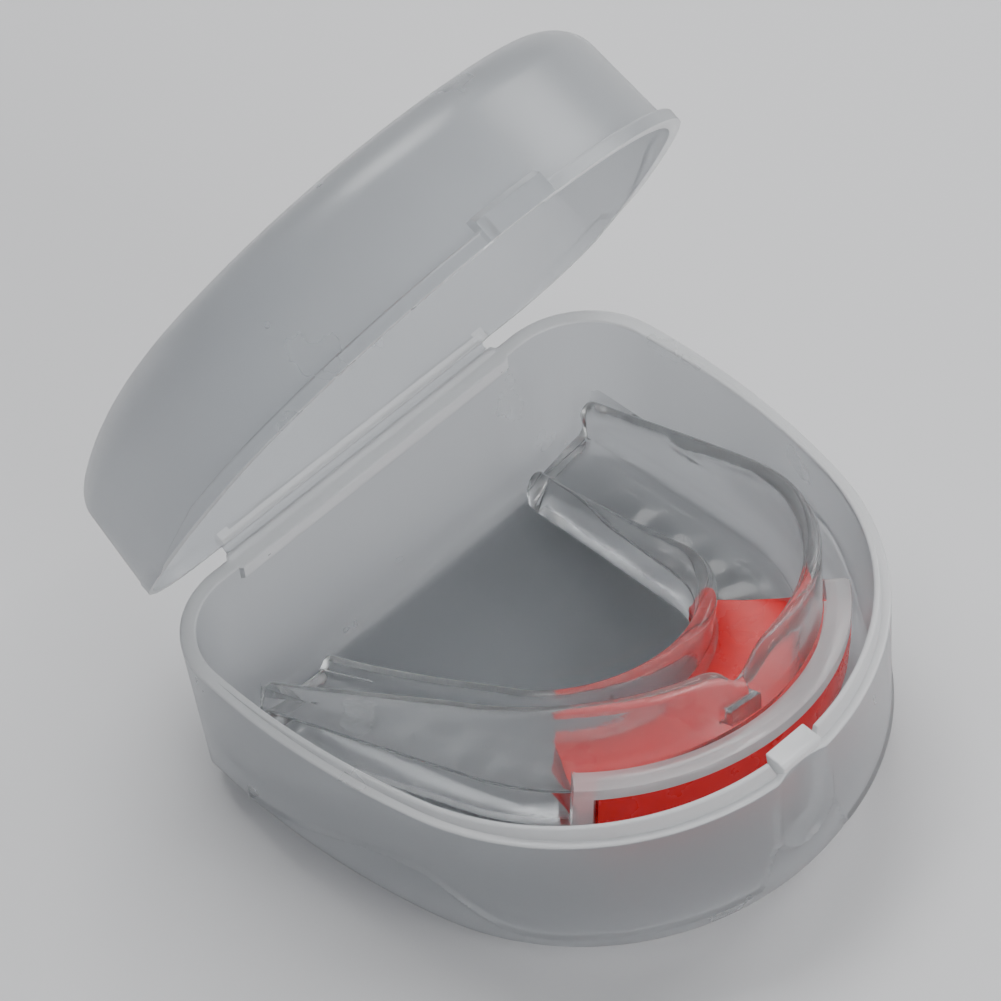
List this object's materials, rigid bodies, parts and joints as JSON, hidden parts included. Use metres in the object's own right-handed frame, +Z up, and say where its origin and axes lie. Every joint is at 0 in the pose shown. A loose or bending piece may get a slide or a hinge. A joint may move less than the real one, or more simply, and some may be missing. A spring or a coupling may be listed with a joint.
{
  "type": "mouthguard with case",
  "caption": "D-shaped translucent hinged case, lid open, holding a clear U-shaped boil-and-bite mouthguard with a red front insert and bumper band.",
  "frame": {"origin": "centre of the case base's resting face", "axes": "+Z up, hinge along X on the +Y side, latch on the -Y side"},
  "size_m": [0.0822, 0.0937, 0.1031],
  "materials": {
    "case_plastic": "frosted translucent polypropylene",
    "guard_clear": "clear glossy EVA",
    "guard_red": "glossy red EVA"
  },
  "bodies": {
    "base": {"case_base": "case_plastic", "hinge_film": "case_plastic"},
    "lid": {"case_lid": "case_plastic"},
    "latch": {"latch_tab": "case_plastic"},
    "guard": {"guard_shell": "guard_clear", "guard_insert": "guard_red"}
  },
  "joints": [
    {"name": "lid_hinge", "type": "hinge", "parent": "base", "child": "lid", "pos_m": [0, 0.0406, 0.0267], "axis": [-1, 0, 0], "range_deg": [-60.5, 115], "deforming": ["hinge_film"]},
    {"name": "guard_lift", "type": "slide", "parent": "base", "child": "guard", "axis": [0, 0, 1], "range_m": [0, 0.015]},
    {"name": "latch_flex", "type": "hinge", "parent": "base", "child": "latch", "pos_m": [0, -0.03695, 0.0255], "axis": [-1, 0, 0], "range_deg": [0, 5], "stiffness_Nm_per_rad": 0.01}
  ]
}
